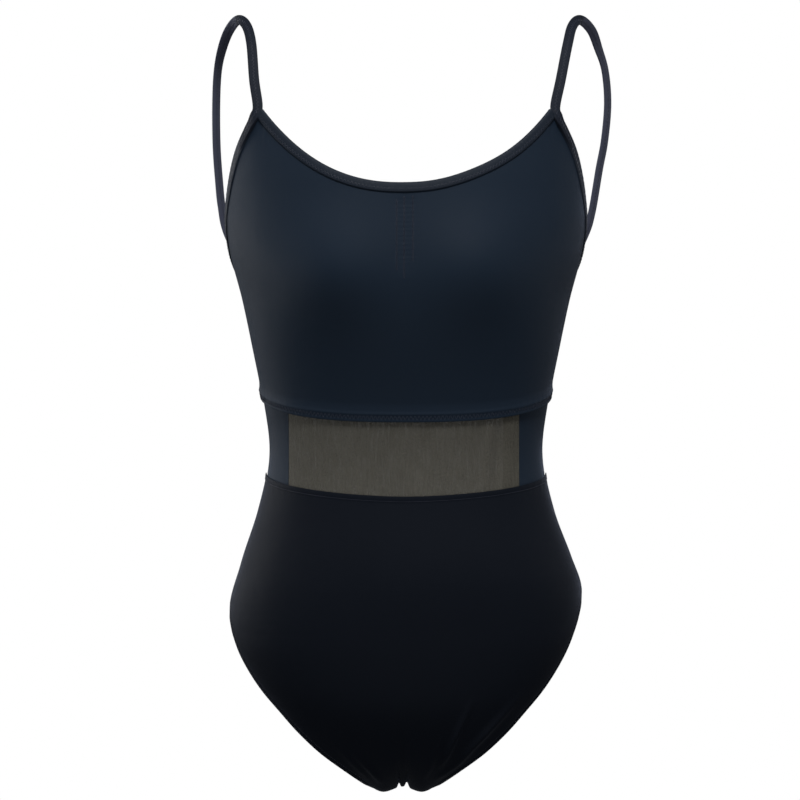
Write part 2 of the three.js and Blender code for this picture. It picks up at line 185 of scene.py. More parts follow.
arm_line = line_through([
    (ARM_TOP - 0.3, STRAP_POINT + 0.062), (ARM_TOP, STRAP_POINT), (math.radians(70), 0.296),
    (SIDE, UNDERARM), (ARM_BACK, BACK_POINT), (ARM_BACK + 0.3, BACK_POINT - 0.040)])


def arm_edge(angle):
    return arm_line(np.abs(angle))


def inside_edge(edge, angle, distance):
    """Angle and height of points a distance inside an edge, square to it."""
    nudge = 0.002
    height = edge(angle)
    reach = np.linalg.norm(body(angle + nudge, height) - body(angle - nudge, height), axis=-1)
    reach = reach / (2 * nudge)
    climb = np.linalg.norm(body(angle, height + 0.001) - body(angle, height - 0.001), axis=-1)
    climb = climb / 0.002
    slope = (edge(angle + nudge) - edge(angle - nudge)) / (2 * nudge)
    length = np.hypot(reach, slope * climb)
    return (angle + distance * slope * climb / (length * reach),
            height - distance * reach / (length * climb))


def edge_height(edge, start, end, distance):
    """The height, at any angle, of the line that runs a distance inside an edge."""
    angles, heights = inside_edge(edge, np.linspace(start, end, 400), distance)
    order = np.argsort(angles)
    return lambda angle: np.interp(angle, angles[order], heights[order])


# ----
# The main cloth: a matt four-way stretch knit, dyed navy black. It is knitted in very fine
# upright ribs, and its brushed face turns pale where it is seen edge on.


def put(tree, kind, *values, **settings):
    """Adds a node, sets its settings, and fills its inputs in order with values or links."""
    made = tree.nodes.new(kind)
    for name, value in settings.items():
        setattr(made, name, value)
    for socket, value in zip(made.inputs, values):
        if isinstance(value, bpy.types.NodeSocket):
            tree.links.new(value, socket)
        elif value is not None:
            socket.default_value = value
    return made


def maths(tree, operation, a, b=None):
    return put(tree, "ShaderNodeMath", a, b, operation=operation).outputs[0]


def cloth_grain(tree):
    """The place in the cloth, and its two parts across and along the grain, in metres."""
    place = tree.nodes.new("ShaderNodeUVMap").outputs[0]
    across, along = put(tree, "ShaderNodeSeparateXYZ", place).outputs[:2]
    return place, across, along


def new_group(name, inputs, outputs):
    group = bpy.data.node_groups.new(name, "ShaderNodeTree")
    for label, value in inputs:
        group.interface.new_socket(label, in_out="INPUT", socket_type="NodeSocketFloat")
        group.interface.items_tree[label].default_value = value
    for label in outputs:
        group.interface.new_socket(label, in_out="OUTPUT", socket_type="NodeSocketFloat")
    return group, group.nodes.new("NodeGroupInput"), group.nodes.new("NodeGroupOutput")


def make_knit_group():
    """Upright ribs crossed by finer courses, from the cloth's own lengthwise and cross grain."""
    tree, given, result = new_group(
        "fine_knit", [("Rib", 0.0009), ("Course", 0.0006), ("Unevenness", 0.3)],
        ["Height", "Yarn"])
    grain, across, along = cloth_grain(tree)
    ribs = maths(tree, "MULTIPLY", maths(tree, "DIVIDE", across, given.outputs["Rib"]),
                  2 * math.pi)
    courses = maths(tree, "MULTIPLY", maths(tree, "DIVIDE", along, given.outputs["Course"]),
                     2 * math.pi)
    rib = maths(tree, "ABSOLUTE", maths(tree, "SINE", ribs))
    loop = maths(tree, "SINE", maths(tree, "ADD", courses, maths(tree, "MULTIPLY", rib, 2.2)))
    yarn = put(tree, "ShaderNodeMapRange", loop, -1.0, 1.0, 0.65, 1.0).outputs[0]
    knit = maths(tree, "MULTIPLY", rib, yarn)
    fuzz = put(tree, "ShaderNodeTexNoise", grain, None, 900.0, 2.0).outputs[0]
    rough = maths(tree, "MULTIPLY", maths(tree, "SUBTRACT", fuzz, 0.5),
                   given.outputs["Unevenness"])
    tree.links.new(maths(tree, "ADD", knit, rough), result.inputs["Height"])
    tree.links.new(maths(tree, "ADD", yarn, rough), result.inputs["Yarn"])
    return tree


def make_tone_group():
    """Soft patches, where the cloth is stretched more or its dye took less."""
    tree, given, result = new_group(
        "dye_tone", [("Patch", 9.0), ("Speckle", 260.0), ("Speckle share", 0.3)], ["Tone"])
    place = tree.nodes.new("ShaderNodeTexCoord")
    broad = put(tree, "ShaderNodeTexNoise", place.outputs["Object"], None,
                given.outputs["Patch"], 3.0, 0.6).outputs[0]
    fine = put(tree, "ShaderNodeTexNoise", place.outputs["Object"], None,
               given.outputs["Speckle"], 2.0, 0.7).outputs[0]
    mixed = put(tree, "ShaderNodeMix", given.outputs["Speckle share"], None, broad, fine)
    tree.links.new(mixed.outputs[0], result.inputs["Tone"])
    return tree


knit_group = make_knit_group()
tone_group = make_tone_group()


def new_finish(name, roughness, sheen, sheen_tint, specular=0.15):
    """A material whose even values sit on the shader's own sockets."""
    material = bpy.data.materials.new(name)
    material.use_nodes = True
    tree = material.node_tree
    shader = tree.nodes["Principled BSDF"]
    shader.inputs["Roughness"].default_value = roughness
    shader.inputs["Specular IOR Level"].default_value = specular
    shader.inputs["Sheen Weight"].default_value = sheen
    shader.inputs["Sheen Roughness"].default_value = 0.32
    shader.inputs["Sheen Tint"].default_value = (*sheen_tint, 1)
    return material, tree, shader


def shade(tree, factor, dark, light):
    """A colour that runs from dark to light with a factor."""
    mix = put(tree, "ShaderNodeMix", factor, data_type="RGBA")
    mix.inputs[6].default_value = (*dark, 1)
    mix.inputs[7].default_value = (*light, 1)
    return mix.outputs[2]


def raise_surface(tree, shader, height, strength, depth=0.0003):
    """Stands the cloth's own relief up on the shader's surface."""
    relief = put(tree, "ShaderNodeBump")
    relief.inputs["Strength"].default_value = strength
    relief.inputs["Distance"].default_value = depth
    tree.links.new(height, relief.inputs["Height"])
    tree.links.new(relief.outputs[0], shader.inputs["Normal"])


def use_group(tree, group, **values):
    made = tree.nodes.new("ShaderNodeGroup")
    made.node_tree = group
    for name, value in values.items():
        made.inputs[name.replace("_", " ")].default_value = value
    return made


def knitted(name, dark, light, rib, course, roughness, sheen, tint, bump=0.25, patch=9.0,
            specular=0.15):
    """A knitted cloth between two close colours."""
    material, tree, shader = new_finish(name, roughness, sheen, tint, specular)
    knit = use_group(tree, knit_group, Rib=rib, Course=course)
    tone = use_group(tree, tone_group, Patch=patch)
    yarn = put(tree, "ShaderNodeMapRange", knit.outputs["Yarn"], 0.4, 1.2, 0.0, 1.0).outputs[0]
    mixed = put(tree, "ShaderNodeMix", 0.45, None, yarn, tone.outputs["Tone"]).outputs[0]
    tree.links.new(shade(tree, mixed, dark, light), shader.inputs["Base Color"])
    rough = put(tree, "ShaderNodeMapRange", tone.outputs["Tone"], 0.3, 0.7,
                roughness - 0.08, roughness + 0.08).outputs[0]
    tree.links.new(rough, shader.inputs["Roughness"])
    raise_surface(tree, shader, knit.outputs["Height"], bump)
    return material


navy_cloth = knitted("navy_stretch_knit", (0.0080, 0.0160, 0.0290), (0.0132, 0.0256, 0.0465),
                     0.0009, 0.0006, 0.62, 0.16, (0.56, 0.66, 0.92))


def mesh_piece(name, points, quads, material, body_name="garment", uv=None):
    """A closed mesh from points and faces, turned outside out, smooth, riding on a body."""
    points = np.asarray(points, float)
    quads = np.asarray(quads, int)
    a, b, c, d = (points[quads[:, k]] for k in range(4))
    volume = np.einsum("ij,ij->i", a, np.cross(b, c) + np.cross(c, d)).sum()
    if volume < 0:
        quads = quads[:, ::-1]
    data = bpy.data.meshes.new(name)
    data.vertices.add(len(points))
    data.vertices.foreach_set("co", points.astype(np.float32).ravel())
    data.loops.add(quads.size)
    data.loops.foreach_set("vertex_index", quads.astype(np.int32).ravel())
    data.polygons.add(len(quads))
    data.polygons.foreach_set("loop_start", np.arange(0, quads.size, 4, dtype=np.int32))
    data.update(calc_edges=True)
    if uv is not None:
        layer = data.uv_layers.new(name="grain")
        layer.data.foreach_set("uv", np.asarray(uv, np.float32)[quads.ravel()].ravel())
    data.shade_smooth()
    data.set_sharp_from_angle(angle=math.radians(50))
    data.validate()
    data.materials.append(material)
    piece = bpy.data.objects.new(name, data)
    bpy.context.scene.collection.objects.link(piece)
    if body_name:
        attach(piece, body_name)
    return piece


def run_lengths(points, axis):
    """Distances along one direction of a grid of points, measured from its middle."""
    steps = np.linalg.norm(np.diff(points, axis=axis), axis=-1)
    pad = [(0, 0), (0, 0)]
    pad[axis] = (1, 0)
    total = np.cumsum(np.pad(steps, pad), axis=axis)
    middle = total.shape[axis] // 2
    return total - np.take(total, [middle], axis=axis)


def cloth_piece(name, outer, inner, material):
    """A closed sheet between an outer and an inner grid of points, with its grain as UV."""
    across, up = outer.shape[:2]
    out = np.arange(across * up).reshape(across, up)
    back = out + across * up

    def strip(p, q):
        return np.stack([p[:-1], p[1:], q[1:], q[:-1]], -1).reshape(-1, 4)

    def face(g):
        return np.stack([g[:-1, :-1], g[1:, :-1], g[1:, 1:], g[:-1, 1:]], -1).reshape(-1, 4)

    quads = np.concatenate([
        face(out), face(back)[:, ::-1],
        strip(back[:, 0], out[:, 0]), strip(out[:, -1], back[:, -1]),
        strip(out[0], back[0]), strip(back[-1], out[-1])])
    grain = np.stack([run_lengths(outer, 0), run_lengths(outer, 1)], -1).reshape(-1, 2)
    points = np.concatenate([outer.reshape(-1, 3), inner.reshape(-1, 3)])
    return mesh_piece(name, worn(points), quads, material, uv=np.concatenate([grain, grain]))


def stands_for(piece, node):
    """Hides the solid that a piece replaces."""
    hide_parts(node)


def form_sheet(name, angle, height, lift, thickness, material):
    """A sheet that follows the form, its outer face lifted off it by a varying distance."""
    spots, out = body(angle, height), body_out(angle, height)
    lift = lift[..., None]
    return cloth_piece(name, spots + out * lift, spots + out * (lift - thickness), material)


# ----
# Front of the bodice. One piece from side seam to side seam, cut to the neck and arm edges.
# Its lower hem is turned and laid over the waist band, and the bindings hold its top edge.

CLOTH = 0.0008
TUCK = 0.0035
HEM = 0.0072
HEM_LIFT = 0.0014
SEAM_GAP = 0.0003

arm_limit = edge_height(arm_edge, ARM_TOP - 0.2, ARM_BACK + 0.2, TUCK)
neck_limit = edge_height(neck_edge, 0, ARM_TOP + 0.1, TUCK)
back_limit = edge_height(back_neck_edge, ARM_BACK - 0.1, math.pi, TUCK)


def front_top(angle):
    turn = np.abs(angle)
    both = np.minimum(np.minimum(neck_limit(turn), arm_limit(turn)), STRAP_POINT - TUCK)
    return np.where(turn < NECK_END - 0.1, neck_limit(turn), both)


def peak_of(top, start, end):
    angles = np.linspace(start, end, 400)
    return angles[np.argmax(top(angles))]


front_peak = peak_of(front_top, NECK_END - 0.06, ARM_TOP + 0.06)
side_stop = SIDE - SEAM_GAP / 2 / ROUND_SIDE


def bell(x, width):
    return np.exp(-(x / width) ** 2)


def ridge_at(distance, place, width, rise):
    return rise * bell(distance - place, width)


def hem_relief(angle, above_hem):
    """The turned hem: proud of the band, with a ridge on each side of its stitching."""
    relief = HEM_LIFT * (1 - np.clip((above_hem - HEM) / 0.009, 0, 1)) ** 1.5
    relief += ridge_at(above_hem, 0.0009, 0.0009, 0.0004)
    relief += ridge_at(above_hem, 0.0070, 0.0010, 0.0005)
    pucker = np.sin(angle * 330) * 0.5 + np.sin(angle * 197 + 1.3) * 0.5
    return relief + 0.00018 * pucker * bell(above_hem - 0.005, 0.007)


def front_relief(angle, height):
    """Small lifts of the cloth off the form: hem ridges, gathers and pulls."""
    spot = body(angle, height)
    x = spot[..., 0]
    above_hem = height - band_top(angle)
    relief = hem_relief(angle, above_hem)
    # gathers that fan out below each strap point
    turn = np.abs(angle)
    below = np.clip(front_top(angle) - height, 0, None)
    fan = (turn - front_peak) / (0.05 + 2.2 * below)
    relief += 0.0007 * np.sin(fan * 26) * bell(fan, 0.55) * np.exp(-below / 0.022)
    # the gathered centre front: short cross ripples between the stitch rows
    down = neck_edge(0) - height
    channel = bell(x + 0.001, 0.009) * np.clip((0.086 - down) / 0.02, 0, 1)
    channel *= np.clip((down - 0.008) / 0.01, 0, 1)
    relief -= 0.0008 * channel
    relief += 0.00025 * channel * np.sin(down * 1500)
    # long soft pulls from the underarm towards the bust
    pull = (turn - SIDE) * ROUND_SIDE + (height - 0.235) * 0.9
    relief += 0.0009 * bell(pull, 0.010) * bell(turn - 1.25, 0.25)
    # the side seam draws the cloth in
    return relief - 0.0006 * bell((SIDE - turn) * ROUND_SIDE, 0.0016)


def bodice_panel(name, angles, top, relief, outer, thickness, up, material, low=0.0):
    share = np.linspace(0, 1, up) ** 1.15
    angle = np.repeat(angles[:, None], up, 1)
    base = band_top(angle) + low
    height = base + (top(angle) - base) * share[None, :]
    return form_sheet(name, angle, height, outer + relief(angle, height), thickness, material)


front_angles = np.concatenate([
    np.linspace(-side_stop, -front_peak, 46)[:-1], np.linspace(-front_peak, front_peak, 130),
    np.linspace(front_peak, side_stop, 46)[1:]])
front_bodice = bodice_panel("front_bodice_cloth", front_angles, front_top, front_relief,
                            0.0, CLOTH, 150, navy_cloth)
stands_for(front_bodice, "front_bodice")

# ----
# Lining of the front: a thinner knit, cut like the outer front and caught in the same seams.
# Only its inner face shows, over the low back.

LINING = 0.0005
lining_cloth = knitted("lining_knit", (0.010, 0.011, 0.015), (0.018, 0.020, 0.027),
                       0.0007, 0.0007, 0.75, 0.35, (0.7, 0.7, 0.8), bump=0.15)


def lining_relief(angle, height):
    return np.minimum(front_relief(angle, height), 0.0) - 0.0001


front_lining = bodice_panel("front_lining", front_angles[::2], front_top, lining_relief,
                            -CLOTH - 0.0003, LINING, 90, lining_cloth, low=0.0005)
stands_for(front_lining, "front_bodice_lining")

# ----
# Low back of the bodice, cut in one piece and scooped between the back strap points.


def back_top(angle):
    turn = np.where(angle > math.pi, 2 * math.pi - angle, angle)
    return np.where(turn > NECK_BACK_END + 0.1, back_limit(turn),
                    np.minimum(back_limit(turn), arm_limit(turn)))


def back_relief(angle, height):
    relief = hem_relief(angle, height - band_top(angle))
    to_seam = np.minimum(angle - SIDE, 3 * SIDE - angle) * ROUND_SIDE
    return relief - 0.0006 * bell(to_seam, 0.0016)


back_angles = np.linspace(2 * SIDE - side_stop, 2 * SIDE + side_stop, 170)
back_bodice = bodice_panel("back_bodice_cloth", back_angles, back_top, back_relief,
                           0.0, CLOTH, 60, navy_cloth)
stands_for(back_bodice, "back_bodice")

# ----
# Bindings. A folded strip of the same knit wraps the raw edge of the neck and arm openings.
# Its outer leg stands proud of the cloth, so its lower edge throws a thin shadow.

BINDING = 0.0092
BINDING_RIPPLE = 0.00012 / 0.0015
binding_cloth = knitted("binding_knit", (0.0110, 0.0165, 0.0270), (0.0185, 0.0270, 0.0420),
                        0.0008, 0.0006, 0.52, 0.15, (0.62, 0.68, 0.90), patch=30.0)
# distance inside the finished edge, and lift off the cloth, round the folded strip
BINDING_SECTION = np.array([
    (1.00, 0.55), (0.985, 1.05), (0.93, 1.35), (0.86, 1.44), (0.76, 1.52), (0.55, 1.66),
    (0.32, 1.66), (0.14, 1.45), (0.035, 0.95), (0.00, 0.10), (0.00, -0.90), (0.03, -1.75),
    (0.12, -2.25), (0.30, -2.45), (0.60, -2.45), (0.88, -2.35), (0.93, -2.00), (0.88, -1.75),
    (0.50, -1.80), (0.26, -1.70), (0.20, -0.70), (0.26, 0.25), (0.60, 0.40), (0.96, 0.40)])


def swept(name, rings, material, body_name="garment", zero=None):
    """A closed tube through rings of points, capped at both ends, with its length as UV."""
    stations, around = rings.shape[:2]
    index = np.arange(stations * around).reshape(stations, around)
    turned = np.roll(index, -1, axis=1)
    sides = np.stack([index[:-1], index[1:], turned[1:], turned[:-1]], -1).reshape(-1, 4)
    points = rings.reshape(-1, 3)
    centres = rings[[0, -1]].mean(1)
    first, last = len(points), len(points) + 1
    caps = []
    for k in range(0, around, 2):
        after = (k + 2) % around
        caps.append((first, index[0, k], index[0, k + 1], index[0, after]))
        caps.append((last, index[-1, after], index[-1, k + 1], index[-1, k]))
    lengthwise = run_lengths(rings, 0)
    if zero is not None:
        lengthwise = lengthwise - lengthwise[zero]
    grain = np.stack([run_lengths(rings, 1), lengthwise], -1).reshape(-1, 2)
    grain = np.concatenate([grain, grain[[0, -1]]])
    points = np.concatenate([points, centres])
    return mesh_piece(name, points, np.concatenate([sides, caps]), material, body_name, grain)


def edge_frame(edge, angles):
    """Points on a finished edge with the directions inwards and out of the cloth."""
    heights = edge(angles)
    inner_angles, inner_heights = inside_edge(edge, angles, BINDING)
    spots = body(angles, heights)
    inwards = body(inner_angles, inner_heights) - spots
    return spots, inwards / BINDING, body_out(angles, heights)


def binding(name, edge, start, end, count):
    spots, inwards, out = edge_frame(edge, np.linspace(start, end, count))
    place = np.arange(count)
    wave = 1 + BINDING_RIPPLE * np.sin(place * 1.9) * np.sin(place * 0.37)
    deep = BINDING_SECTION[:, 0] * BINDING
    lift = BINDING_SECTION[:, 1] * 0.001
    rings = (spots[:, None] + inwards[:, None] * deep[None, :, None]
             + out[:, None] * (lift[None, :] * wave[:, None])[..., None])
    return swept(name, worn(rings), binding_cloth)


# each bound edge: its line, where it starts and ends, and how far it goes on under a strap
UNDER_STRAP = 0.020
BOUND_EDGES = {
    "front_neck": (neck_edge, -NECK_END, NECK_END, UNDER_STRAP),
    "back_neck": (back_neck_edge, NECK_BACK_END, 2 * math.pi - NECK_BACK_END, 0),
    "right_arm": (arm_edge, -ARM_BACK, -ARM_TOP, 0),
    "left_arm": (arm_edge, ARM_TOP, ARM_BACK, 0)}
for (place, (edge, start, end, beyond)), count in zip(BOUND_EDGES.items(), (260, 200, 180, 180)):
    strip_piece = binding(f"{place}_binding_strip", edge, start - beyond, end + beyond, count)
    stands_for(strip_piece, f"{place}_binding".replace("arm_", "armhole_"))

# ----
# Shoulder straps. Each is the same folded strip, sewn flat at the front and back strap points,
# and it goes over the shoulder on its edge. The strap can swing about the line through its two
# ends, but here it is built in one place.

STRAP_WIDTH = 0.0093
STRAP_THICK = 0.0021
STRAP_TWIST = 0.75
FRONT_RUN = {
    "right": [(-0.1343, -0.050, 0.3370), (-0.1379, -0.041, 0.3625), (-0.1412, -0.025, 0.3970),
              (-0.1465, -0.006, 0.4155)],
    "left": [(0.1350, -0.050, 0.3370), (0.1404, -0.041, 0.3625), (0.1476, -0.025, 0.3970),
             (0.1530, -0.006, 0.4155)]}
OVER_AND_DOWN = {
    "right": [(-0.1548, 0.011, 0.4226), (-0.1640, 0.028, 0.4150), (-0.1712, 0.043, 0.4000),
              (-0.1763, 0.058, 0.3800), (-0.1783, 0.068, 0.3504), (-0.1782, 0.073, 0.3109),
              (-0.1759, 0.074, 0.2770), (-0.1735, 0.073, 0.2544), (-0.1680, 0.070, 0.2290),
              (-0.1490, 0.062, 0.1900)],
    "left": [(0.1612, 0.011, 0.4226), (0.1722, 0.028, 0.4150), (0.1795, 0.043, 0.4000),
             (0.1868, 0.058, 0.3800), (0.1898, 0.068, 0.3504), (0.1872, 0.073, 0.3164),
             (0.1822, 0.074, 0.2890), (0.1752, 0.073, 0.2486), (0.1680, 0.070, 0.2260),
             (0.1490, 0.062, 0.1890)]}


def through(points, count):
    """A smooth path through points, in even steps, and its length."""
    p = np.array(points, float)
    p = np.concatenate([[2 * p[0] - p[1]], p, [2 * p[-1] - p[-2]]])
    path = []
    for a, b, c, d in zip(p[:-3], p[1:-2], p[2:-1], p[3:]):
        t = np.linspace(0, 1, 40, endpoint=False)[:, None]
        path.append(0.5 * (2 * b + (c - a) * t + (2 * a - 5 * b + 4 * c - d) * t ** 2
                           + (3 * b - a - 3 * c + d) * t ** 3))
    path = np.concatenate(path + [p[-2:-1]])
    run = np.concatenate([[0], np.cumsum(np.linalg.norm(np.diff(path, axis=0), axis=1))])
    even = np.linspace(0, run[-1], count)
    return np.stack([np.interp(even, run, path[:, k]) for k in range(3)], -1), run[-1]


def sewn_end(sign, edge, angle, depths, lifts):
    """Points down the middle of the binding from its end, where the strap is laid and sewn."""
    angles = sign * np.array([angle + d for d in depths])
    spots, inwards, out = edge_frame(edge, angles)
    return spots + inwards * BINDING * 0.5 + out * np.array(lifts)[:, None], inwards[0]


def make_strap_finish():
    """Darker knit on the tape's face, and a paler unbrushed back on the side against the body. The
    back is partly the tape's own paler back and partly painted light: it is made several times
    paler to lift the back run, which lies in shade.
    """
    material, tree, shader = new_finish("strap_tape_knit", 0.60, 0.08, (0.66, 0.70, 0.90), 0.12)
    knit = use_group(tree, knit_group, Rib=0.0008, Course=0.0006)
    tone = use_group(tree, tone_group, Patch=30.0)
    mixed = put(tree, "ShaderNodeMix", 0.45, None, knit.outputs["Yarn"],
                tone.outputs["Tone"]).outputs[0]
    _, around, along = cloth_grain(tree)
    # the tape turns over on its edge at the top of the shoulder, where its length is 0
    turned = put(tree, "ShaderNodeMapRange", along, -0.006, 0.010, 1.0, -1.0).outputs[0]
    under = put(tree, "ShaderNodeMapRange", maths(tree, "MULTIPLY", around, turned),
                0.0, 0.0016, 0.0, 1.0).outputs[0]
    face = shade(tree, mixed, (0.0085, 0.0115, 0.0190), (0.0145, 0.0190, 0.0300))
    # painted light: these back colours are far paler than the tape's own back, to brighten the
    # shaded back run of the strap
    back = shade(tree, mixed, (0.054, 0.060, 0.094), (0.086, 0.094, 0.138))
    both = put(tree, "ShaderNodeMix", under, data_type="RGBA")
    tree.links.new(face, both.inputs[6])
    tree.links.new(back, both.inputs[7])
    tree.links.new(both.outputs[2], shader.inputs["Base Color"])
    raise_surface(tree, shader, knit.outputs["Height"], 0.25)
    return material


strap_cloth = make_strap_finish()
strap_rim = np.linspace(0, 2 * math.pi, 20, endpoint=False)
# a flat folded strip: nearly straight faces, tightly rounded folds
STRAP_SECTION = np.stack([
    np.sign(np.cos(strap_rim)) * np.abs(np.cos(strap_rim)) ** 0.55,
    np.sign(np.sin(strap_rim)) * np.abs(np.sin(strap_rim)) ** 0.60], -1) * 0.5


def strap(side, sign):
    low, inward = sewn_end(sign, arm_edge, ARM_TOP, (0.24, 0.16, 0.08, 0.01),
                           (0.0000, 0.0008, 0.0014, 0.0018))
    end, inward_back = sewn_end(sign, back_neck_edge, NECK_BACK_END, (-0.01, 0.030, 0.075),
                                (0.0016, 0.0012, 0.0002))
    route = [*low, *FRONT_RUN[side], *OVER_AND_DOWN[side], *end]
    middle, length = through(route, 320)
    along = unit(np.gradient(middle, axis=0))
    share = np.linspace(0, 1, len(middle))[:, None] * length
    near_front = np.clip(1 - (share - 0.036) / 0.022, 0, 1)
    near_back = np.clip(1 - (length - share) / 0.050, 0, 1)
    upright = unit(np.stack([along[:, 2], np.zeros(len(along)), -along[:, 0]], -1))
    sewn_front = unit(inward)[None] * np.sign(inward @ upright[60])
    sewn_back = unit(inward_back)[None] * np.sign(inward_back @ upright[-30])
    wide = unit(upright * (1 - near_front - near_back) + sewn_front * near_front
                + sewn_back * near_back)
    wide = unit(wide - along * np.sum(wide * along, -1, keepdims=True))
    thick = np.cross(wide, along)
    # behind the shoulder the tape turns a little on edge
    behind = np.clip((middle[:, 1:2] - 0.015) / 0.045, 0, 1) * (1 - near_back)
    turn = STRAP_TWIST * behind * behind * (3 - 2 * behind)
    wide, thick = (wide * np.cos(turn) + thick * np.sin(turn),
                   thick * np.cos(turn) - wide * np.sin(turn))
    taper = 1 - 0.30 * np.clip(1 - share / 0.030, 0, 1)
    rings = (middle[:, None]
             + wide[:, None] * (STRAP_SECTION[None, :, :1] * STRAP_WIDTH * taper[:, None])
             + thick[:, None] * (STRAP_SECTION[None, :, 1:] * STRAP_THICK))
    piece = swept(f"{side}_strap_tape", rings, strap_cloth, None, zero=middle[:, 2].argmax())
    return piece, middle, thick


joints = {joint["name"]: joint for joint in frame["joints"]}


def attach_strap(piece, side):
    """Bakes the tape's place into its points. The strap's swing joint is read, but the tape is not
    hung on a body or set to turn.
    """
    joint = joints[f"{side}_strap_swing"]
    axis = Vector(joint["axis"]).normalized()
    lift = Vector((0, 1, 1)) - axis * axis.dot(Vector((0, 1, 1)))
    lift = Vector((0, lift.y, lift.z)).normalized()
    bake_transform(piece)


strap_lines = {}
for side, sign in (("right", -1), ("left", 1)):
    tape, *strap_lines[side] = strap(side, sign)
    stands_for(tape, f"{side}_strap")
    attach_strap(tape, side)

# ----
# Waist band. The front and back panels are sheer power mesh, a net of fine knitted holes, and
# solid cloth joins them at the sides. All four lie under the hems of the bodice and briefs.

UNDER_HEM = 0.0060
BAND_INSIDE = 0.0009
NET = 0.0004
BAND_ROWS = 50


def make_net_group():
    """Staggered round holes of a knitted net, 1 in the yarn and 0 in the holes."""
    tree, given, result = new_group("net_holes", [("Pitch", 0.0012), ("Yarn share", 0.5)],
                                    ["Solid", "Height"])
    _, across, along = cloth_grain(tree)
    turns = 2 * math.pi
    u = maths(tree, "MULTIPLY", maths(tree, "DIVIDE", across, given.outputs["Pitch"]), turns)
    v = maths(tree, "MULTIPLY", maths(tree, "DIVIDE", along, given.outputs["Pitch"]),
               turns / 1.7)
    rows = maths(tree, "MULTIPLY", maths(tree, "COSINE", u), maths(tree, "COSINE", v))
    net = put(tree, "ShaderNodeMapRange", rows, -1.0, 1.0, 0.0, 1.0).outputs[0]
    edge = maths(tree, "SUBTRACT", net, given.outputs["Yarn share"])
    solid = put(tree, "ShaderNodeMapRange", edge, -0.12, 0.12, 1.0, 0.0).outputs[0]
    tree.links.new(solid, result.inputs["Solid"])
    tree.links.new(solid, result.inputs["Height"])
    return tree


net_group = make_net_group()


def make_mesh_finish():
    material, tree, shader = new_finish("olive_grey_power_mesh", 0.70, 0.25, (0.9, 0.88, 0.75))
    net = use_group(tree, net_group, Pitch=0.0012, Yarn_share=0.55)
    tone = use_group(tree, tone_group, Patch=14.0, Speckle=900.0, Speckle_share=0.75)
    tree.links.new(shade(tree, tone.outputs["Tone"], (0.056, 0.053, 0.043),
                         (0.170, 0.162, 0.136)), shader.inputs["Base Color"])
    # the net shows most of its holes, and its yarn is thicker and thinner from place to place
    open_net = put(tree, "ShaderNodeMapRange", net.outputs["Solid"], 0.0, 1.0, 0.60, 0.79)
    upright = put(tree, "ShaderNodeMapping", cloth_grain(tree)[0], None, None,
                  (420.0, 45.0, 1.0))
    streak = put(tree, "ShaderNodeTexNoise", upright.outputs[0], None, 1.0, 2.0).outputs[0]
    uneven = put(tree, "ShaderNodeMapRange", maths(tree, "ADD", tone.outputs["Tone"], streak),
                 0.6, 1.4, -0.16, 0.16)
    alpha = maths(tree, "ADD", open_net.outputs[0], uneven.outputs[0])
    tree.links.new(alpha, shader.inputs["Alpha"])
    raise_surface(tree, shader, net.outputs["Height"], 0.3)
    return material


power_mesh = make_mesh_finish()


def soft_folds(angle, height):
    """Upright slack folds that the mesh keeps between the two stiffer hems."""
    x = body(angle, height)[..., 0]
    middle = (height - band_bottom(angle)) / (band_top(angle) - band_bottom(angle))
    free = np.clip(np.sin(np.clip(middle, 0, 1) * math.pi), 0, 1)
    folds = (0.0012 * bell(x - 0.094, 0.005) - 0.0022 * bell(x - 0.084, 0.004)
             + 0.0014 * bell(x - 0.074, 0.004) - 0.0010 * bell(x - 0.064, 0.005)
             + 0.0006 * bell(x + 0.004, 0.007) - 0.0005 * bell(x - 0.012, 0.008)
             + 0.0005 * bell(x + 0.086, 0.006))
    return folds * free


def angle_at(x, height, back):
    turn = np.arcsin(x / half_width(height))
    return math.pi - turn if back else turn


def band_panel(name, start, end, count, thickness, material, relief):
    """A panel between two upright seams, each given as (x, whether it lies on the back)."""
    share = np.linspace(0, 1, count)[:, None]
    rows = np.linspace(0, 1, BAND_ROWS)[None, :]
    height = np.full((count, BAND_ROWS), WAIST)
    # the panel's angles depend on its heights and the other way round, so they settle in turn
    for _ in range(4):
        ends = [angle_at(x, height, back) % (2 * math.pi) for x, back in (start, end)]
        ends[0] = np.where(ends[0] > ends[1], ends[0] - 2 * math.pi, ends[0])
        angle = ends[0] + (ends[1] - ends[0]) * share
        low, high = band_bottom(angle) - UNDER_HEM, band_top(angle) + UNDER_HEM
        height = low + (high - low) * rows
    under = np.clip((height - band_top(angle)) / 0.003, 0, 1)
    under = under + np.clip((band_bottom(angle) - height) / 0.003, 0, 1)
    lift = -BAND_INSIDE - under * 0.0006 + relief(angle, height) * (1 - under)
    return form_sheet(name, angle, height, lift, thickness, material)


def no_folds(angle, height):
    return np.zeros(np.shape(angle))


FRONT_MESH_EDGES = (-0.1070, 0.1030)
BACK_MESH_EDGES = (-0.1100, 0.0910)
front_mesh = band_panel("front_mesh_net", (FRONT_MESH_EDGES[0], False),
                        (FRONT_MESH_EDGES[1], False), 150, NET, power_mesh, soft_folds)
back_mesh = band_panel("back_mesh_net", (BACK_MESH_EDGES[1], True), (BACK_MESH_EDGES[0], True),
                       110, NET, power_mesh, no_folds)
for net_piece, node in ((front_mesh, "front_mesh_panel"), (back_mesh, "back_mesh_panel")):
    stands_for(net_piece, node)
for side, start, end in (
        ("right", (BACK_MESH_EDGES[0] - SEAM_GAP, True), (FRONT_MESH_EDGES[0] - SEAM_GAP, False)),
        ("left", (FRONT_MESH_EDGES[1] + SEAM_GAP, False), (BACK_MESH_EDGES[1] + SEAM_GAP, True))):
    panel = band_panel(f"{side}_waist_cloth", start, end, 60, CLOTH, navy_cloth, no_folds)
    stands_for(panel, f"{side}_waist_panel")

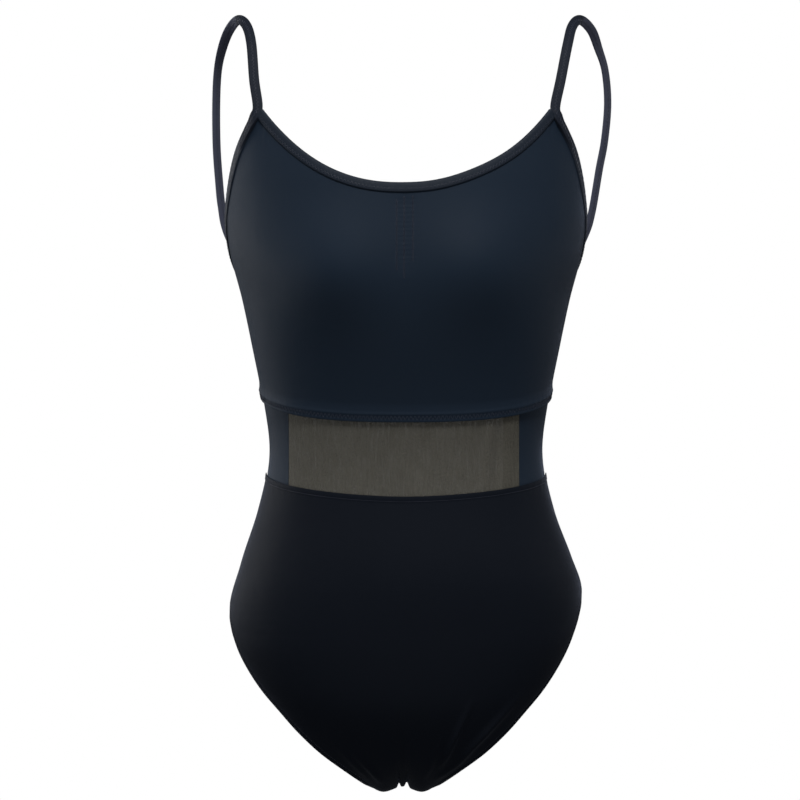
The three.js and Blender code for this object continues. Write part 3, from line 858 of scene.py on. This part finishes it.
# ----
# Briefs. The front and back are cut in one piece each, sewn at the sides and under the crotch.
# The top edge is turned over the mesh, and the cloth is turned in round both leg openings.

CROTCH = -0.2875
CROTCH_BACK = 0.018
CROTCH_HALF = 0.030
LEG_TOP = -0.121
BRIEF_TOP_HEM = 0.0046
LEG_STITCH = 0.0070

front_leg, _ = through([
    (0.1620, 0.000, LEG_TOP), (0.1605, -0.012, -0.1265), (0.1570, -0.020, -0.1390),
    (0.1500, -0.026, -0.1570), (0.1400, -0.032, -0.1750), (0.1275, -0.037, -0.1930),
    (0.1120, -0.041, -0.2110), (0.0950, -0.043, -0.2300), (0.0750, -0.041, -0.2490),
    (0.0520, -0.031, -0.2670), (0.0360, -0.010, -0.2800), (CROTCH_HALF, CROTCH_BACK, -0.2850)],
    400)
back_leg, _ = through([
    (0.1620, 0.000, LEG_TOP), (0.1600, 0.013, -0.1265), (0.1520, 0.025, -0.1410),
    (0.1360, 0.041, -0.1660), (0.1130, 0.056, -0.1980), (0.0800, 0.066, -0.2360),
    (0.0500, 0.058, -0.2640), (0.0350, 0.040, -0.2780), (CROTCH_HALF, CROTCH_BACK, -0.2850)],
    400)
front_middle, _ = through([
    (0, -0.095, HIP), (0, -0.0935, -0.150), (0, -0.081, -0.206), (0, -0.053, -0.252),
    (0, -0.014, -0.281), (0, CROTCH_BACK, CROTCH)], 400)
back_middle, _ = through([
    (0, 0.110, HIP), (0, 0.113, -0.156), (0, 0.099, -0.208), (0, 0.069, -0.255),
    (0, 0.045, -0.279), (0, CROTCH_BACK, CROTCH)], 400)


def along_path(path, share):
    place = np.clip(share, 0, 1) * (len(path) - 1)
    return np.stack([np.interp(place, np.arange(len(path)), path[:, k]) for k in range(3)], -1)


def brief_stretches(back, across, level):
    """Level 0 is the waist seam, 1 the top of the leg openings and 2 the crotch seam."""
    across, level = np.broadcast_arrays(np.asarray(across, float), np.asarray(level, float))
    turn = across * SIDE
    angle = math.pi - turn if back else turn
    hips = band_bottom(angle) + (HIP - band_bottom(angle)) * np.clip(level, -0.2, 1)
    upper = body(angle, hips)
    down = np.clip(level - 1, 0, 1)
    edge = along_path(back_leg if back else front_leg, down)
    centre = along_path(back_middle if back else front_middle, down)
    open_to = SIDE * (1 - 0.45 * down)
    fullness = 0.0 if back else FRONT_FULLNESS
    rim = bow(np.cos(open_to), fullness)
    share = (bow(np.cos(across * open_to), fullness) - rim) / (1 - rim)
    lower = edge + (centre - edge) * share[..., None]
    lower[..., 0] = edge[..., 0] * np.sin(across * open_to) / np.sin(open_to)
    return np.where(level[..., None] <= 1, upper, lower)


def brief_surface(back, across, level):
    """The two stretches of the briefs, evened out where they meet so that no crease shows."""
    level = np.asarray(level, float)
    near = np.clip(1.25 - np.abs(level - 1) / 0.4, 0, 1)
    spread = 0.20 * near * (1 - np.clip(np.abs(across), 0, 1) ** 10)
    places = np.linspace(-1, 1, 9)
    weights = np.cos(places * SIDE * 0.9) ** 2
    return sum(w * brief_stretches(back, across, level + spread * k)
               for w, k in zip(weights / weights.sum(), places))


def brief_out(back, across, level):
    a = np.clip(across, -0.993, 0.993)
    b = np.clip(level, 0.006, 1.994)
    sense = 1 if back else -1
    return sense * facing_out(lambda s, t: brief_surface(back, s, t), a, b, 0.004, 0.004)


def crotch_crease(spots):
    """How far the cloth is drawn in along the middle, where it folds between the legs."""
    x, z = spots[..., 0], spots[..., 2]
    low = np.clip((-0.226 - z) / 0.056, 0, 1)
    crease = 0.0038 * low ** 0.8 * (1 - low ** 4) * bell(x, 0.0020)
    # low down it opens into two notches, with a small fold of cloth hanging between them
    notches = bell(x - 0.0040, 0.0018) + 0.8 * bell(x + 0.0034, 0.0013)
    return crease + low ** 2.5 * (0.0050 * notches + 0.0016 * bell(x, 0.0085))


def brief_hems(down_from_seam, to_leg):
    """The turned top hem, and the stitch lines sunk in it and round the leg opening."""
    relief = 0.0007 * (1 - np.clip((down_from_seam - BRIEF_TOP_HEM) / 0.0015, 0, 1))
    relief -= ridge_at(down_from_seam, BRIEF_TOP_HEM, 0.0010, 0.0005)
    return relief - ridge_at(to_leg, LEG_STITCH, 0.0011, 0.0008)


# each pull: where it starts and ends (x, z), its half width and its rise
PULLS = [
    (0.033, -0.264, 0.060, -0.204, 0.0030, 0.0034),
    (0.042, -0.264, 0.102, -0.200, 0.0034, 0.0030),
    (0.020, -0.272, 0.034, -0.236, 0.0030, 0.0016),
    (-0.018, -0.276, -0.046, -0.246, 0.0030, 0.0022),
    (-0.028, -0.276, -0.062, -0.238, 0.0032, 0.0014),
    (0.028, -0.276, 0.060, -0.250, 0.0028, 0.0014)]


def front_brief_relief(spots, down_from_seam, to_leg):
    x, z = spots[..., 0], spots[..., 2]
    relief = brief_hems(down_from_seam, to_leg)
    pucker = np.sin(x * 1900) * 0.5 + np.sin(x * 1130 + 1.0) * 0.5
    relief += 0.00015 * pucker * bell(down_from_seam - 0.005, 0.006)
    # crotch folds: a deep centre crease between two lobes, and slanting pulls beside it
    relief -= crotch_crease(spots)
    low = np.clip((-0.232 - z) / 0.050, 0, 1)
    relief += 0.0040 * low ** 2 * bell(np.abs(x) - 0.018, 0.010)
    for ax, az, bx, bz, width, rise in PULLS:
        length = math.hypot(bx - ax, bz - az)
        ux, uz = (bx - ax) / length, (bz - az) / length
        s = ((x - ax) * ux + (z - az) * uz) / length
        off = (x - ax) * uz - (z - az) * ux
        fade = np.clip(s / 0.25, 0, 1) * np.clip((1.15 - s) / 0.6, 0, 1)
        relief += rise * bell(off, width) * fade
    return relief


def seat_valley(spots):
    """How far the cloth is drawn in between the two rounds of the seat."""
    x, z = spots[..., 0], spots[..., 2]
    reach = np.clip((-0.06 - z) / 0.08, 0, 1) * np.clip((z + 0.285) / 0.06, 0, 1)
    return 0.0100 * reach * bell(x, 0.020)


def back_draw(spots):
    """How far the back is drawn in: the crotch crease, which dies out behind, and the valley."""
    ahead = np.clip((0.060 - spots[..., 1]) / 0.030, 0, 1)
    return crotch_crease(spots) * ahead + seat_valley(spots)


def back_brief_relief(spots, down_from_seam, to_leg):
    return brief_hems(down_from_seam, to_leg) - back_draw(spots)


def brief_grid(across_count, upper_rows, lower_rows):
    level = np.concatenate([np.linspace(1.999, 1, lower_rows), np.linspace(1, 0, upper_rows)[1:]])
    across = np.linspace(-1, 1, across_count)
    across = np.sin(across * SIDE * 0.9) / math.sin(SIDE * 0.9)
    return np.meshgrid(across * 0.9985, level, indexing="ij")


def brief_panel(name, back, relief_of, material):
    across, level = brief_grid(190, 70, 120)
    if back:
        across = across[::-1]
    spots = brief_surface(back, across, level)
    out = brief_out(back, across, level)
    steps = np.linalg.norm(np.diff(spots, axis=1), axis=-1)
    run = np.cumsum(np.pad(steps, [(0, 0), (1, 0)]), axis=1)
    down_from_seam = run[:, -1:] - run
    wide = np.abs(run_lengths(spots, 0))
    half = np.maximum(wide[:1], wide[-1:])
    to_leg = half - wide + np.clip(1 - level, 0, 1) * 0.5
    lift = relief_of(spots, down_from_seam, to_leg)[..., None]
    return cloth_piece(name, spots + out * lift, spots + out * (lift - CLOTH), material)


# painted shade: the briefs and leg hems are the bodice's navy knit made darker and greyer, standing
# in for the dimmer light low on the garment
brief_knit_painted_darker = knitted("brief_knit_with_painted_shade", (0.0052, 0.0072, 0.0120), (0.0090, 0.0122, 0.0200),
                      0.0009, 0.0006, 0.58, 0.13, (0.58, 0.66, 0.90), specular=0.07)
front_brief = brief_panel("front_brief_cloth", False, front_brief_relief, brief_knit_painted_darker)
stands_for(front_brief, "front_brief")
back_brief = brief_panel("back_brief_cloth", True, back_brief_relief, brief_knit_painted_darker)
stands_for(back_brief, "back_brief")

# ----
# Leg hems. A narrow elastic lies inside the turned edge of each leg opening, from the crotch
# seam up over the hip and down the back.


def evened(values, reach=6):
    """Values along a line, each the mean of itself and those within reach on both sides."""
    count = 2 * reach + 1
    return np.convolve(np.pad(values, reach, "edge"), np.ones(count) / count, "valid")


def leg_hem(side, sign):
    halves = ((False, np.linspace(1.99, 1, 110)), (True, np.linspace(1, 1.99, 110)[1:]))
    near_edge = sign * 0.995
    spots = np.concatenate([brief_surface(back, near_edge, levels) for back, levels in halves])
    out = np.concatenate([brief_out(back, near_edge, levels) for back, levels in halves])
    out = unit(np.apply_along_axis(evened, 0, out))
    along = unit(np.gradient(spots, axis=0))
    inwards = unit(np.cross(along, out)) * -sign
    section = np.array([(0.3, -1.1), (4, -1.05), (7.6, -1.1), (7.9, -1.6), (7.6, -2.2),
                        (4, -2.3), (0.6, -2.2), (0.2, -1.7)]) * 0.001
    rings = (spots[:, None] + inwards[:, None] * section[None, :, :1]
             + out[:, None] * section[None, :, 1:])
    return swept(f"{side}_leg_elastic_hem", worn(rings), brief_knit_painted_darker)


for side, sign in (("right", -1), ("left", 1)):
    stands_for(leg_hem(side, sign), f"{side}_leg_hem")

# ----
# Crotch lining: a shaped piece of brushed cotton jersey inside the briefs, caught in the seams.

cotton = knitted("crotch_cotton_jersey", (0.030, 0.032, 0.038), (0.055, 0.057, 0.064),
                 0.0012, 0.0010, 0.85, 0.3, (0.9, 0.9, 0.9), bump=0.3)


def crotch_lining():
    levels = np.concatenate([np.linspace(1.70, 1.995, 45), np.linspace(1.995, 1.60, 55)])
    halves = np.concatenate([np.ones(45, bool), np.zeros(55, bool)])
    across = np.linspace(-0.80, 0.80, 50)
    outer, inner = np.empty((50, 100, 3)), np.empty((50, 100, 3))
    for k, (level, back) in enumerate(zip(levels, halves)):
        spots = brief_surface(back, across, np.full(50, level))
        out = brief_out(back, across, np.full(50, level))
        lift = -0.0012 - (back_draw(spots) if back else crotch_crease(spots))[:, None]
        outer[:, k] = spots + out * lift
        inner[:, k] = spots + out * (lift - 0.0007)
    return cloth_piece("crotch_lining_cloth", outer, inner, cotton)


stands_for(crotch_lining(), "crotch_lining")

# ----
# Elastics inside the two waist seams, and the gathering tape down the centre front: ribbed
# woven tapes, sewn to the inside of the cloth.

ELASTIC = 0.0080
ELASTIC_GAP = 0.0006
GATHER_TAPE = 0.0130
elastic_tape = knitted("ribbed_elastic", (0.012, 0.012, 0.015), (0.024, 0.025, 0.030),
                       0.0016, 0.0009, 0.60, 0.2, (0.8, 0.8, 0.8), bump=0.5)


def seam_elastic(node, low_edge):
    angle = np.repeat(np.linspace(-SIDE, 3 * SIDE - 0.004, 320)[:, None], 7, 1)
    height = low_edge(angle) + ELASTIC * np.linspace(0, 1, 7)[None, :]
    ripple = 0.00012 * np.sin(angle * 420)
    piece = form_sheet(f"{node}_tape", angle, height, ripple - 0.0022, 0.0009, elastic_tape)
    stands_for(piece, node)


seam_elastic("underbust_elastic", lambda angle: band_top(angle) + ELASTIC_GAP)
seam_elastic("waist_elastic", lambda angle: band_bottom(angle) - ELASTIC - ELASTIC_GAP)


def gather_tape():
    high = neck_edge(0.0) - BINDING - 0.0005
    turn = GATHER_TAPE / 2 / ROUND_CHEST
    angle, height = np.meshgrid(np.linspace(-turn, turn, 14), np.linspace(high - 0.074, high, 90),
                                indexing="ij")
    ripple = 0.0003 * np.sin(height * 1500)
    return form_sheet("gather_tape", angle, height, ripple - 0.0032, 0.0008, elastic_tape)


stands_for(gather_tape(), "center_front_gather_tape")

# ----
# Sewing threads. Spun polyester in the colour of the cloth: zigzag rows hold the bindings, the
# bodice hem and the gathered centre front, and straight rows hold the brief and leg hems.


def make_thread_finish():
    material, tree, shader = new_finish("navy_sewing_thread", 0.45, 0.3, (0.8, 0.8, 0.9), 0.5)
    tone = use_group(tree, tone_group, Patch=500.0, Speckle=2500.0)
    tree.links.new(shade(tree, tone.outputs["Tone"], (0.026, 0.032, 0.055),
                         (0.060, 0.070, 0.105)), shader.inputs["Base Color"])
    twist = put(tree, "ShaderNodeTexWave", None, 900.0, 2.0)
    place = tree.nodes.new("ShaderNodeTexCoord")
    tree.links.new(place.outputs["Object"], twist.inputs["Vector"])
    raise_surface(tree, shader, twist.outputs[1], 0.3, 0.0001)
    return material


thread = make_thread_finish()
THREAD = 0.00032


def stitch_row(name, line, out, pitch, width, body_name="garment", reach=1.0):
    """A row of raised stitches along a line of points. Width 0 is a straight row."""
    run = np.concatenate([[0], np.cumsum(np.linalg.norm(np.diff(line, axis=0), axis=1))])
    count = max(2, int(run[-1] / pitch))
    even = np.linspace(0, run[-1], count + 1)
    spots = np.stack([np.interp(even, run, line[:, k]) for k in range(3)], -1)
    normals = unit(np.stack([np.interp(even, run, out[:, k]) for k in range(3)], -1))
    along = unit(np.gradient(spots, axis=0))
    beside = unit(np.cross(along, normals))
    swing = np.where(np.arange(count + 1) % 2, 0.5, -0.5)[:, None] * width
    points = spots + beside * swing
    start, end = points[:-1], points[1:]
    middle = (start + end) / 2
    start, end = middle + (start - middle) * reach, middle + (end - middle) * reach
    up = unit(normals[:-1] + normals[1:])
    way = unit(end - start)
    side = unit(np.cross(way, up))
    up = np.cross(side, way)
    share = np.linspace(0, 1, 6)
    arch = np.sin(share * math.pi)
    centre = (start[:, None] + (end - start)[:, None] * share[None, :, None]
              + up[:, None] * ((arch - 0.35) * THREAD)[None, :, None])
    swell = (0.55 + 0.45 * arch ** 0.5) * THREAD / 2
    turn = np.linspace(0, 2 * math.pi, 6, endpoint=False)
    rings = (centre[:, :, None]
             + side[:, None, None] * (np.cos(turn)[None, None, :] * swell[None, :, None])[..., None]
             + up[:, None, None] * (np.sin(turn)[None, None, :] * swell[None, :, None])[..., None])
    index = np.arange(count * 36).reshape(count, 6, 6)
    turned = np.roll(index, -1, axis=2)
    quads = [np.stack([index[:, :-1], index[:, 1:], turned[:, 1:], turned[:, :-1]], -1)
             .reshape(-1, 4)]
    for end_ring, order in ((index[:, 0], (0, 1, 2, 3)), (index[:, -1], (3, 2, 1, 0))):
        quads.append(end_ring[:, list(order)])
        quads.append(end_ring[:, [(k + 3) % 6 for k in order]])
    points = rings.reshape(-1, 3)
    if body_name == "garment":
        points = worn(points)
    piece = mesh_piece(name, points, np.concatenate(quads), thread, body_name)
    return piece


def form_row(name, angles, heights, lift, pitch, width, reach=1.0):
    """A row of stitches along a line on the form, lifted off it."""
    out = body_out(angles, heights)
    stitch_row(name, body(angles, heights) + out * lift, out, pitch, width, reach=reach)


# zigzag rows down the bindings, nearer their lower edge than the finished one
BINDING_FACE = 0.00158
for place, (edge, start, end, _) in BOUND_EDGES.items():
    spots, inwards, out = edge_frame(edge, np.linspace(start, end, 500))
    stitch_row(f"{place}_stitches", spots + inwards * BINDING * 0.70 + out * BINDING_FACE, out,
               0.0017, 0.0026)


ON_CLOTH = 0.00005
BODICE_STITCH = 0.0040
HALVES = (("front", 0, front_relief), ("back", 2 * SIDE, back_relief))
for half, centre, relief in HALVES:
    angles = np.linspace(centre - side_stop, centre + side_stop, 700)
    heights = band_top(angles) + BODICE_STITCH
    lift = relief(angles, heights)[:, None] + ON_CLOTH
    form_row(f"{half}_hem_stitches", angles, heights, lift, 0.0018, 0.0046)
for half, centre, _ in HALVES:
    angles = np.linspace(centre - side_stop, centre + side_stop, 700)
    form_row(f"{half}_brief_stitches", angles, band_bottom(angles) - BRIEF_TOP_HEM, 0.0003,
             0.0024, 0.0, reach=0.8)

# the rows that hold the gathers, each with its place across, its top and its bottom
for row, x, high, low in (("middle", -0.0018, 0.0125, 0.086), ("left", 0.0060, 0.0120, 0.071),
                          ("right", -0.0085, 0.0150, 0.079)):
    heights = neck_edge(0.0) - np.linspace(high, low, 300)
    angles = np.arcsin(x / half_width(heights))
    lift = front_relief(angles, heights)[:, None] + ON_CLOTH
    form_row(f"center_front_{row}_stitches", angles, heights, lift, 0.0011, 0.0022)


def leg_row(side, sign):
    level = np.linspace(1.99, 1.02, 300)
    for back, part in ((False, "front"), (True, "back")):
        wide = brief_surface(back, sign, level)
        near = brief_surface(back, sign * 0.97, level)
        inset_share = LEG_STITCH / np.maximum(np.linalg.norm(wide - near, axis=-1), 1e-5) * 0.03
        across = sign * (1 - inset_share)
        line = brief_surface(back, across, level)
        out = brief_out(back, across, level)
        stitch_row(f"{side}_leg_{part}_stitches", line - out * 0.0003, out, 0.0026, 0.0,
                   reach=0.8)


leg_row("right", -1)
leg_row("left", 1)

# a zigzag row along each strap, sewn before the strap was set in
for side, (middle, thick) in strap_lines.items():
    for face, sense in (("outer", 1), ("inner", -1)):
        line = middle + thick * (STRAP_THICK * 0.5 * sense)
        row = stitch_row(f"{side}_strap_{face}_stitches", line[4:-4], (thick * sense)[4:-4],
                         0.0017, 0.0024, body_name=None)
        attach_strap(row, side)

# ----
# Care label: a blank folded satin tape in the side seam, inside the back.


def make_label_finish():
    material, tree, shader = new_finish("blank_satin_tape", 0.38, 0.1, (1, 1, 1), 0.5)
    knit = use_group(tree, knit_group, Rib=0.0005, Course=0.0005)
    tree.links.new(shade(tree, knit.outputs["Yarn"], (0.55, 0.54, 0.50), (0.78, 0.77, 0.73)),
                   shader.inputs["Base Color"])
    raise_surface(tree, shader, knit.outputs["Height"], 0.2, 0.0001)
    return material


def care_label():
    wide, long, top = 0.014, 0.024, 0.1406
    start = 3 * SIDE - 0.0012
    turn = wide / ROUND_CHEST
    angle, height = np.meshgrid(np.linspace(start - turn, start, 20),
                                np.linspace(top - long, top, 34), indexing="ij")
    curl = 0.0010 * ((start - angle) / turn) ** 2
    return form_sheet("blank_care_label", angle, height, -0.0021 - curl, 0.0004,
                      make_label_finish())


stands_for(care_label(), "care_label")

# ----
# Studio: plain white all round and a plain pale floor, soft light from above and in front, a
# weaker light from behind, and a long lens level with the waist.


def soft_light(name, place, target, size, power):
    lamp = bpy.data.lights.new(name, "AREA")
    lamp.shape = "DISK"
    lamp.size = size
    lamp.energy = power
    holder = bpy.data.objects.new(name, lamp)
    holder.location = place
    holder.rotation_euler = (Vector(target) - Vector(place)).to_track_quat("-Z", "Y").to_euler()
    bpy.context.scene.collection.objects.link(holder)


def white_surroundings():
    """White where the camera looks past the garment, and much dimmer as light on it."""
    air = bpy.data.worlds.new("studio_air")
    air.use_nodes = True
    tree = air.node_tree
    glow = tree.nodes["Background"]
    glow.inputs[0].default_value = (1, 1, 1, 1)
    seen = tree.nodes.new("ShaderNodeLightPath").outputs["Is Camera Ray"]
    strength = put(tree, "ShaderNodeMapRange", seen, 0.0, 1.0, 0.11, 1.0)
    tree.links.new(strength.outputs[0], glow.inputs[1])
    return air


def pale_floor(height, reach, corners=96):
    """A plain round floor, as far down as under a clothes rail, that adds no light from below."""
    turns = [2 * math.pi * i / corners for i in range(corners)]
    rim = [(reach * math.cos(turn), reach * math.sin(turn), height) for turn in turns]
    shape = bpy.data.meshes.new("floor")
    shape.from_pydata(rim, [], [tuple(range(corners))])
    paint = bpy.data.materials.new("floor_paint")
    paint.use_nodes = True
    surface = paint.node_tree.nodes["Principled BSDF"]
    surface.inputs["Base Color"].default_value = (0.86, 0.86, 0.85, 1)
    surface.inputs["Roughness"].default_value = 0.85
    shape.materials.append(paint)
    floor = bpy.data.objects.new("floor", shape)
    floor.visible_diffuse = False
    floor.visible_glossy = False
    bpy.context.scene.collection.objects.link(floor)


pale_floor(-1.30, 1.2)
# each lamp: its place, what it is aimed at, how wide it is and its power
for lamp_values in (
        ("key_light", (0.10, -1.15, 1.75), (0, 0, 0.20), 0.6, 26),
        ("low_light", (0.1, -1.7, -0.9), (0, 0, -0.20), 0.8, 3.0),
        ("left_light", (-1.7, -0.5, 0.6), (0, 0, 0.05), 1.2, 2.5),
        ("left_edge_light", (-1.5, 0.60, 0.3), (0, 0, 0.05), 0.9, 10),
        ("right_light", (1.7, -0.5, 0.6), (0, 0, 0.05), 1.2, 1.5),
        ("right_edge_light", (1.5, 0.60, 0.3), (0, 0, 0.05), 0.9, 1.8),
        ("back_light", (0.5, 1.9, 1.3), (0, 0, 0.05), 1.2, 12)):
    soft_light(*lamp_values)
bpy.context.scene.world = white_surroundings()
bpy.context.scene.view_settings.view_transform = "Standard"

LENS = 150.0
SENSOR = 36.0
CAMERA_HEIGHT = 0.0718
CAMERA_SIDE = -0.0055
FRAME_WIDTH = 0.736
camera_data = bpy.data.cameras.new("studio_camera")
camera_data.lens = LENS
camera_data.sensor_width = SENSOR
camera = bpy.data.objects.new("studio_camera", camera_data)
camera.location = (CAMERA_SIDE, -FRAME_WIDTH * LENS / SENSOR, CAMERA_HEIGHT)
camera.rotation_euler = (SIDE, 0, 0)
bpy.context.scene.collection.objects.link(camera)
bpy.context.scene.camera = camera
